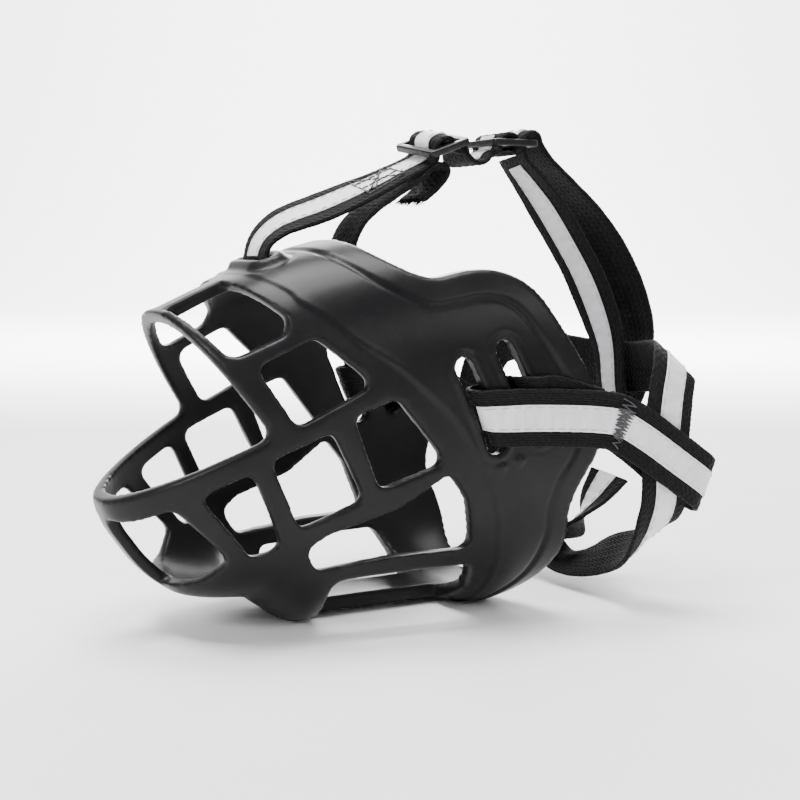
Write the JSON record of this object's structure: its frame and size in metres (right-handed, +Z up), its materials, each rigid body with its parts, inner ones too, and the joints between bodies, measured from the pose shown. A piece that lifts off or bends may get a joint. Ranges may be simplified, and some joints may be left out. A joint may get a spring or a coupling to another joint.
{
  "type": "basket muzzle",
  "caption": "Open rubber basket muzzle for a small dog with a webbing head strap, neck loop, cheek straps and a collar closed by a side release buckle.",
  "frame": {"origin": "under the middle of the whole object, on the surface that its chin and rear rim stand on", "axes": "+X from the nose to the neck, +Y to the dog's right, +Z up"},
  "size_m": [0.1404, 0.0894, 0.1117],
  "materials": {
    "basket_rubber": "satin moulded rubber",
    "webbing": "woven nylon webbing",
    "reflective_tape": "soft grey reflective tape",
    "slider_plastic": "moulded, lightly polished",
    "buckle_plastic": "moulded, lightly polished",
    "thread": "twisted sewing thread"
  },
  "bodies": {
    "muzzle": {"muzzle_basket": "basket_rubber", "head_strap": "webbing", "head_strap_tape": "reflective_tape", "neck_loop": "webbing", "neck_loop_tape": "reflective_tape", "left_cheek_strap": "webbing", "left_cheek_tape": "reflective_tape", "right_cheek_strap": "webbing", "right_cheek_tape": "reflective_tape", "collar": "webbing", "collar_tape": "reflective_tape", "buckle_plug": "buckle_plastic", "buckle_socket": "buckle_plastic", "head_strap_stitching": "thread", "left_cheek_stitching": "thread", "right_cheek_stitching": "thread", "collar_stitching": "thread"},
    "front_slider": {"front_slider": "slider_plastic"},
    "rear_slider": {"rear_slider": "slider_plastic"},
    "front_prong": {"buckle_prong_front": "buckle_plastic"},
    "rear_prong": {"buckle_prong_rear": "buckle_plastic"}
  },
  "joints": [
    {"name": "front_slider_rock", "type": "hinge", "parent": "muzzle", "child": "front_slider", "pos_m": [0.01134, 0, 0.1074], "axis": [-0.0594, 0.9848, 0.1632], "range_deg": [-2, 2]},
    {"name": "rear_slider_rock", "type": "hinge", "parent": "muzzle", "child": "rear_slider", "pos_m": [0.02904, 0, 0.108], "axis": [0, 1, 0], "range_deg": [-1.5, 1.5]},
    {"name": "front_prong_squeeze", "type": "hinge", "parent": "muzzle", "child": "front_prong", "pos_m": [0.04314, 0.01289, 0.01203], "axis": [0, -0.342, 0.9397], "range_deg": [-9, 0], "stiffness_Nm_per_rad": 0.05},
    {"name": "rear_prong_squeeze", "type": "hinge", "parent": "muzzle", "child": "rear_prong", "pos_m": [0.05434, 0.01289, 0.01203], "axis": [0, -0.342, 0.9397], "range_deg": [0, 9], "stiffness_Nm_per_rad": 0.05}
  ]
}
